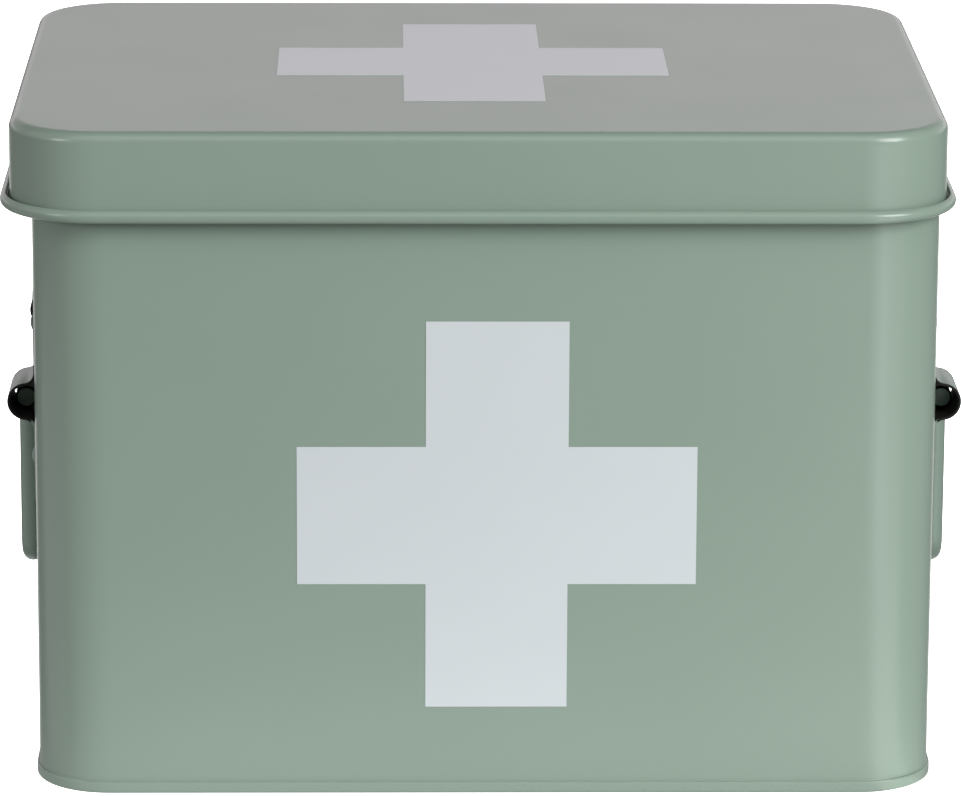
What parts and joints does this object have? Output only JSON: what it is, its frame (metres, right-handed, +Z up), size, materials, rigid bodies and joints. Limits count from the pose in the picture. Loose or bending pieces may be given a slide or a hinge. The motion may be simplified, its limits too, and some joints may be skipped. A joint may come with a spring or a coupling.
{
  "type": "medicine box",
  "caption": "Painted sheet-metal medicine box with a deep overlapping hinged lid, printed crosses and a swinging bail handle on each side.",
  "frame": {"origin": "centre of the body at the plane that the box stands on", "axes": "+Z up, the front with the cross faces -Y, the hinges are at +Y, the handles at -X and +X"},
  "size_m": [0.2259, 0.167, 0.1596],
  "materials": {
    "body_paint": "sage green enamel, semi-gloss, smooth with a faint orange peel",
    "lid_paint": "sage green enamel, semi-gloss, smooth with a faint orange peel",
    "hardware_paint": "the same sage green enamel over straps, rod, hinges and rivets",
    "print_white": "white screen print, satin",
    "pin_steel": "bright drawn wire"
  },
  "bodies": {
    "box": {"body_wall": "body_paint", "bottom_pan": "body_paint", "front_cross": "print_white", "handle_strap_left_front": "hardware_paint", "handle_strap_left_rear": "hardware_paint", "handle_strap_right_front": "hardware_paint", "handle_strap_right_rear": "hardware_paint", "strap_rivets_left": "hardware_paint", "strap_rivets_right": "hardware_paint", "hinge_body_leaf_left": "hardware_paint", "hinge_body_leaf_right": "hardware_paint", "hinge_pin_left": "pin_steel", "hinge_pin_right": "pin_steel", "hinge_rivets_body": "hardware_paint"},
    "lid": {"lid_pan": "lid_paint", "lid_cross": "print_white", "hinge_lid_leaf_left": "hardware_paint", "hinge_lid_leaf_right": "hardware_paint", "hinge_rivets_lid": "hardware_paint"},
    "handle_left": {"handle_left": "hardware_paint"},
    "handle_right": {"handle_right": "hardware_paint"}
  },
  "joints": [
    {"name": "lid_hinge", "type": "hinge", "parent": "box", "child": "lid", "pos_m": [0, 0.08003, 0.13618], "axis": [-1, 0, 0], "range_deg": [0, 145]},
    {"name": "handle_left_swing", "type": "hinge", "parent": "box", "child": "handle_left", "pos_m": [-0.10865, 0, 0.08809], "axis": [0, 1, 0], "range_deg": [0, 180]},
    {"name": "handle_right_swing", "type": "hinge", "parent": "box", "child": "handle_right", "pos_m": [0.10865, 0, 0.08809], "axis": [0, -1, 0], "range_deg": [0, 180]}
  ]
}
